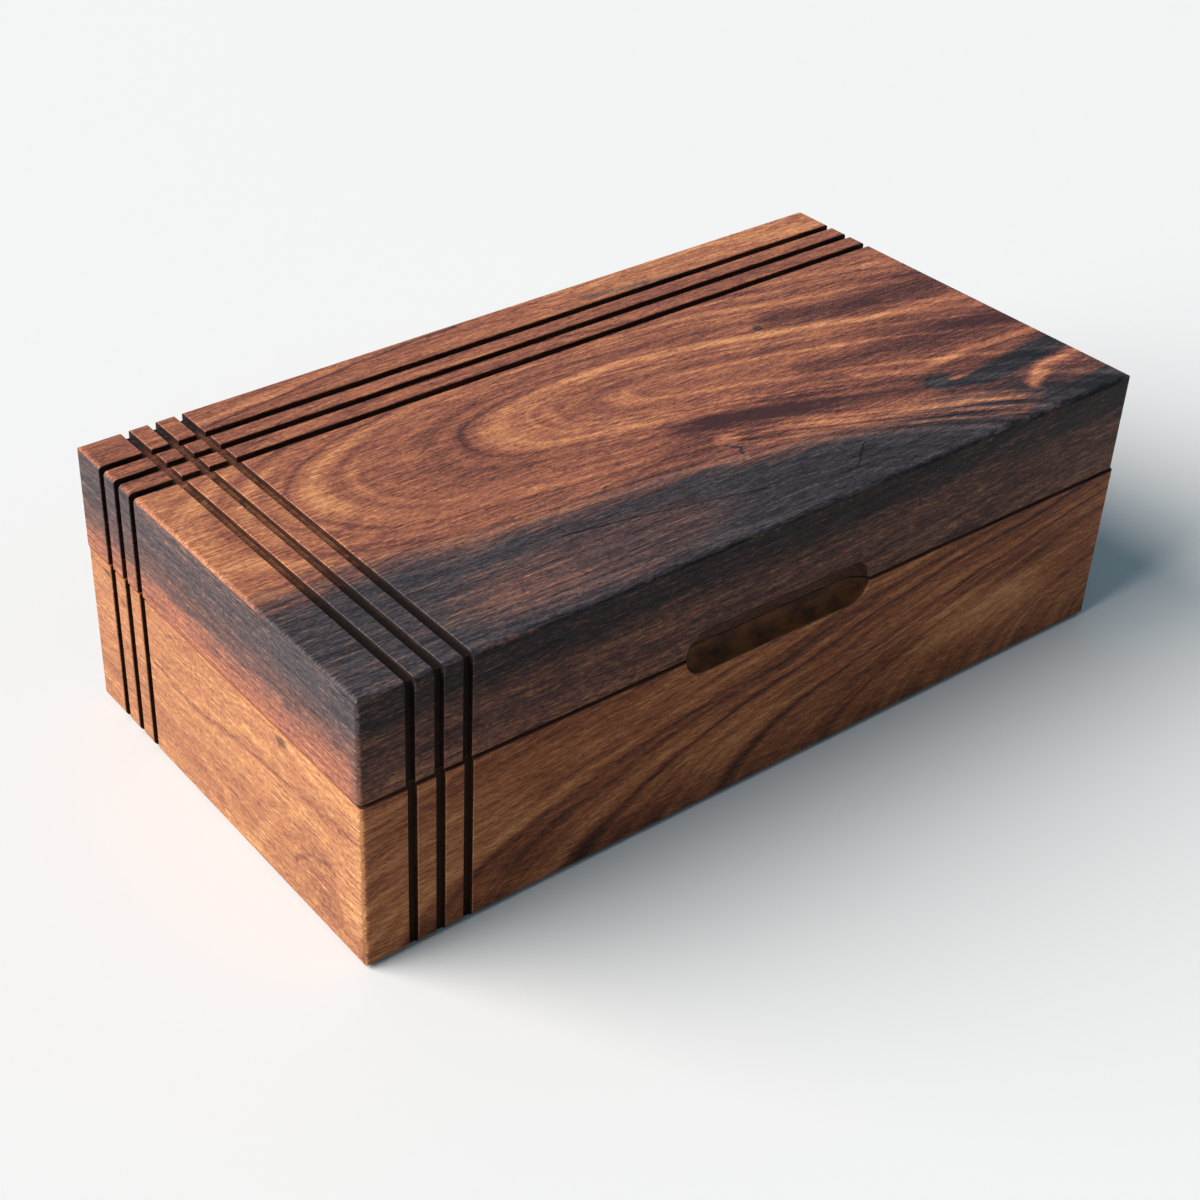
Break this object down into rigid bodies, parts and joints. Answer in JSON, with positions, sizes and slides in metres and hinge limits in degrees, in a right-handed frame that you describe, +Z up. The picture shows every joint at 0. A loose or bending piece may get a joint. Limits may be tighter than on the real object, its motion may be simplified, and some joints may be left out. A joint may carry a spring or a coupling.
{
  "type": "hinged wooden box",
  "caption": "Rectangular keepsake box carved from solid hardwood, with a hinged lid, a front finger pull and saw-cut grooves crossing near one corner.",
  "frame": {"origin": "middle of the base's underside", "axes": "+X along the box's length, to the right for someone facing the finger pull; +Y from the finger pull's side to the hinges; +Z up"},
  "size_m": [0.3051, 0.165, 0.096],
  "materials": {
    "base_wood": "oiled and waxed tropical hardwood, mid brown with dark streaks",
    "lid_wood": "oiled and waxed tropical hardwood, red brown with near-black heartwood bands",
    "hinge_brass": "satin",
    "screw_brass": "satin"
  },
  "bodies": {
    "base": {"base_body": "base_wood", "hinge_left_base_leaf": "hinge_brass", "hinge_right_base_leaf": "hinge_brass", "hinge_left_pin": "hinge_brass", "hinge_right_pin": "hinge_brass", "base_hinge_screws": "screw_brass"},
    "lid": {"lid_body": "lid_wood", "hinge_left_lid_leaf": "hinge_brass", "hinge_right_lid_leaf": "hinge_brass", "lid_hinge_screws": "screw_brass"}
  },
  "joints": [
    {"name": "lid_hinge", "type": "hinge", "parent": "base", "child": "lid", "pos_m": [0, 0.083, 0.06015], "axis": [-1, 0, 0], "range_deg": [0, 95]}
  ]
}
